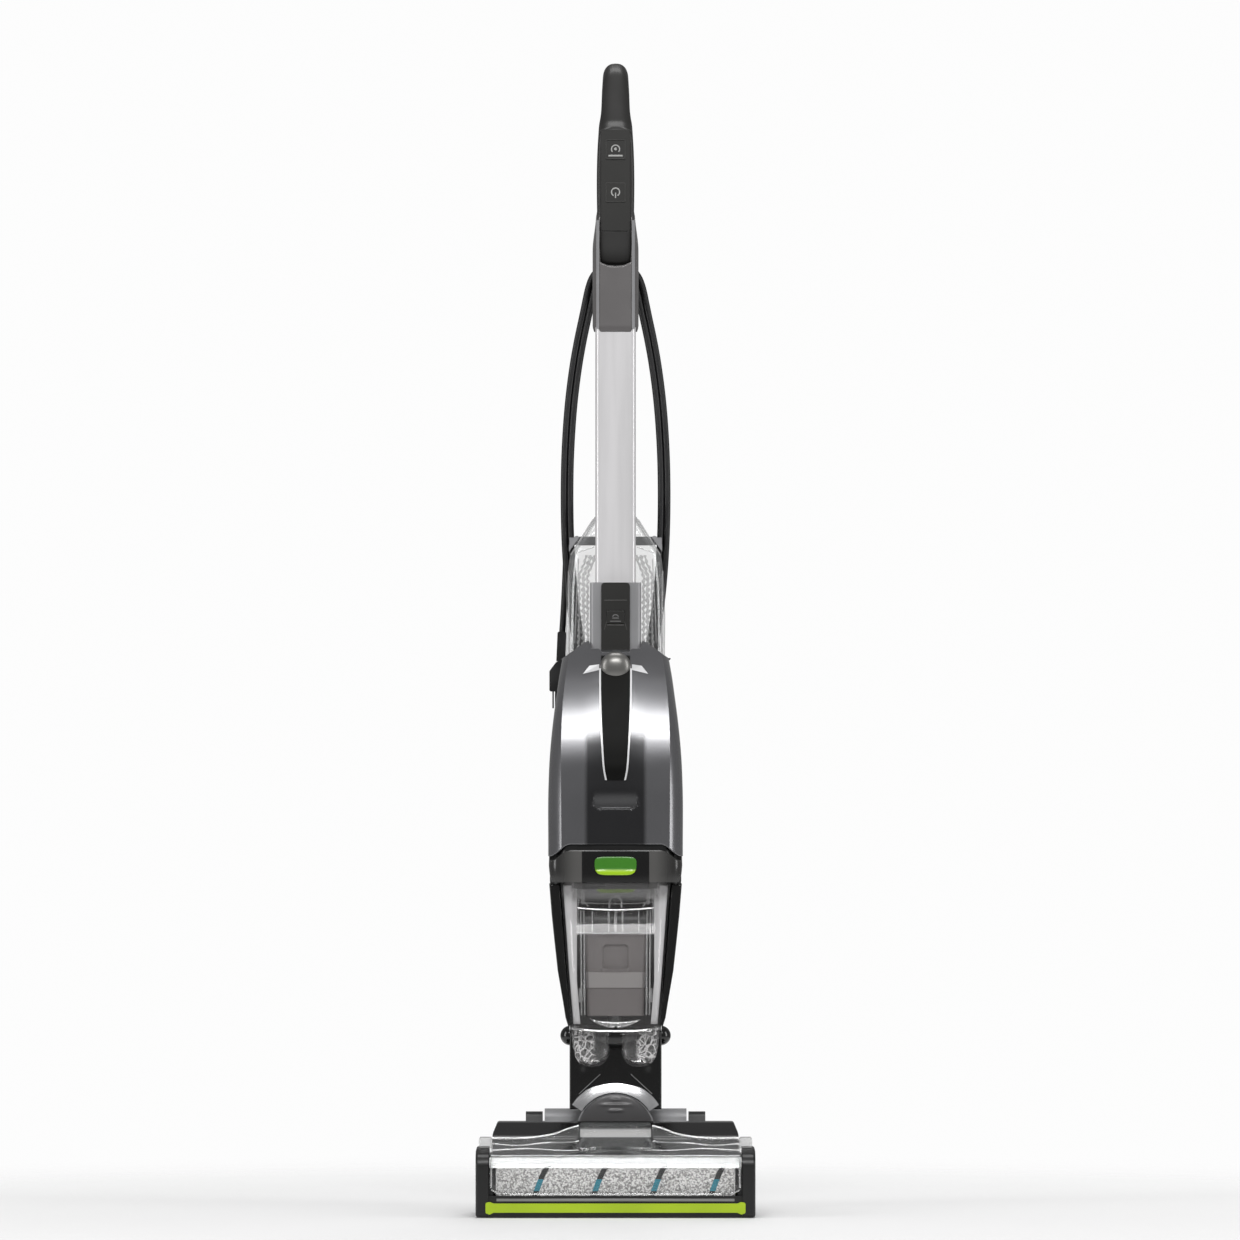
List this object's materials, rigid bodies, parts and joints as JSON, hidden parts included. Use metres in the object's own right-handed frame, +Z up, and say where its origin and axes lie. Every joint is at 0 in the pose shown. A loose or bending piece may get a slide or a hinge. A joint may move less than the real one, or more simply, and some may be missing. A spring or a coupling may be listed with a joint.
{
  "type": "upright carpet cleaner machine",
  "caption": "Upright wet carpet and floor washer: brush head under a clear hood, slim grey body, two tanks, flat tube, hand loop and wound cord.",
  "frame": {"origin": "on the floor under the middle of the machine, centre of its footprint", "axes": "+Z up the machine, -Y the front where the brush head is, +X to the right seen from the front"},
  "size_m": [0.28, 0.266, 1.164],
  "materials": {
    "body_grey": "glossy metallic grey shell",
    "handle_grey": "satin warm grey",
    "light_grey": "satin light grey",
    "black_gloss": "glossy black",
    "black_satin": "satin black",
    "silver_tube": "satin silver",
    "bright_trim": "polished silver trim",
    "lime": "lime green",
    "green": "green",
    "smoke_clear": "lightly smoked clear plastic",
    "clear": "clear plastic",
    "brush_pile": "short white and grey pile",
    "tyre": "soft rubber",
    "cord": "grey-black cord sheath",
    "steel": "steel",
    "cast_case": "cast light alloy",
    "inner_grey": "matt brown-grey",
    "board": "circuit board",
    "filter": "pleated filter"
  },
  "bodies": {
    "foot": {"foot_chassis": "black_satin", "end_cap_left": "black_satin", "end_cap_right": "black_satin", "front_bumper": "lime", "rear_cover": "black_gloss", "brush_motor": "cast_case", "squeegee": "tyre", "wheel_axles": "steel", "drive_belt": "tyre", "suction_hose": "black_satin"},
    "hood": {"brush_window": "smoke_clear"},
    "brush": {"brush_core": "inner_grey", "brush_pile": "brush_pile"},
    "pinion": {"motor_pinion": "steel"},
    "wheel_left": {"wheel_left": "tyre"},
    "wheel_right": {"wheel_right": "tyre"},
    "hub": {"trunnion": "light_grey", "trunnion_cap": "handle_grey", "swivel_nut": "steel"},
    "body": {"neck_yoke": "black_satin", "neck_bolt_caps": "black_gloss", "body_front_shell": "body_grey", "body_rear_shell": "black_satin", "side_rail_left": "black_satin", "side_rail_right": "black_satin", "spine_cover": "black_gloss", "spine_trim": "bright_trim", "tube_collar": "light_grey", "handle_tube": "silver_tube", "insert_panel": "black_gloss", "suction_motor": "cast_case", "steam_boiler": "cast_case", "water_pump": "black_satin", "control_board": "board", "handle_shell": "handle_grey", "grip_loop": "black_gloss", "control_panel": "black_gloss", "lower_cord_hook": "black_satin", "cord_hank": "cord", "cord_lead": "cord", "cord_tail": "cord", "plug": "cord", "cord_gland": "black_satin", "body_screws": "steel"},
    "fan": {"suction_fan": "black_satin"},
    "dirty_tank": {"dirty_tank_cup": "smoke_clear", "tank_lid": "black_gloss", "tank_seal": "tyre", "tank_filter": "filter", "separator": "inner_grey"},
    "float": {"float_ball": "light_grey"},
    "latch": {"tank_latch": "green"},
    "clean_tank": {"clean_tank_shell": "clear", "clean_tank_handle": "light_grey"},
    "tank_cap": {"clean_tank_cap": "black_satin"},
    "power_key": {"power_button": "black_gloss"},
    "mode_key": {"mode_button": "black_gloss"},
    "rinse_key": {"rinse_button": "black_gloss"},
    "trigger": {"spray_trigger": "black_satin"},
    "upper_hook": {"upper_cord_hook": "black_satin"}
  },
  "joints": [
    {"name": "recline", "type": "hinge", "parent": "foot", "child": "hub", "pos_m": [0, 0.058, 0.079], "axis": [-1, 0, 0], "range_deg": [0, 70]},
    {"name": "steer_swivel", "type": "hinge", "parent": "hub", "child": "body", "pos_m": [0, 0.058, 0.079], "axis": [0, 1, 0], "range_deg": [-25, 25]},
    {"name": "brush_spin", "type": "hinge", "parent": "foot", "child": "brush", "pos_m": [0, -0.098, 0.0265], "axis": [1, 0, 0], "continuous": true},
    {"name": "pinion_spin", "type": "hinge", "parent": "foot", "child": "pinion", "pos_m": [0, -0.03008, 0.032], "axis": [1, 0, 0], "continuous": true},
    {"name": "wheel_left_spin", "type": "hinge", "parent": "foot", "child": "wheel_left", "pos_m": [-0.1, 0.064, 0.026], "axis": [1, 0, 0], "continuous": true},
    {"name": "wheel_right_spin", "type": "hinge", "parent": "foot", "child": "wheel_right", "pos_m": [0.1, 0.064, 0.026], "axis": [1, 0, 0], "continuous": true},
    {"name": "hood_lift", "type": "slide", "parent": "foot", "child": "hood", "axis": [0, -0.7001, 0.7141], "range_m": [0, 0.09]},
    {"name": "dirty_tank_removal", "type": "slide", "parent": "body", "child": "dirty_tank", "axis": [0, -1, 0], "range_m": [0, 0.12]},
    {"name": "float_rise", "type": "slide", "parent": "dirty_tank", "child": "float", "axis": [0, 0, 1], "range_m": [0, 0.016]},
    {"name": "latch_press", "type": "slide", "parent": "dirty_tank", "child": "latch", "axis": [0, 1, 0], "range_m": [0, 0.0035], "stiffness_N_per_m": 900, "springref_m": -0.002},
    {"name": "clean_tank_removal", "type": "slide", "parent": "body", "child": "clean_tank", "axis": [0, 0, 1], "range_m": [0, 0.094]},
    {"name": "tank_cap_turn", "type": "hinge", "parent": "clean_tank", "child": "tank_cap", "pos_m": [0, 0.075, 0.703], "axis": [0, 0, 1], "range_deg": [0, 120]},
    {"name": "power_press", "type": "slide", "parent": "body", "child": "power_key", "axis": [0, 1, 0], "range_m": [0, 0.0012], "stiffness_N_per_m": 900, "springref_m": -0.001},
    {"name": "mode_press", "type": "slide", "parent": "body", "child": "mode_key", "axis": [0, 1, 0], "range_m": [0, 0.0012], "stiffness_N_per_m": 900, "springref_m": -0.001},
    {"name": "rinse_press", "type": "slide", "parent": "body", "child": "rinse_key", "axis": [0, 1, 0], "range_m": [0, 0.001], "stiffness_N_per_m": 900, "springref_m": -0.001},
    {"name": "trigger_squeeze", "type": "hinge", "parent": "body", "child": "trigger", "pos_m": [0, 0.052, 1.08], "axis": [-1, 0, 0], "range_deg": [0, 8], "stiffness_Nm_per_rad": 0.6, "springref_deg": -5.73},
    {"name": "upper_hook_turn", "type": "hinge", "parent": "body", "child": "upper_hook", "pos_m": [0, 0.11, 0.934], "axis": [0, 1, 0], "range_deg": [0, 180]},
    {"name": "fan_spin", "type": "hinge", "parent": "body", "child": "fan", "pos_m": [0, 0.022, 0.38], "axis": [0, 0, 1], "continuous": true}
  ],
  "couplings": [
    {"joint": "pinion_spin", "follows": "brush_spin", "ratio": 2.3333}
  ]
}
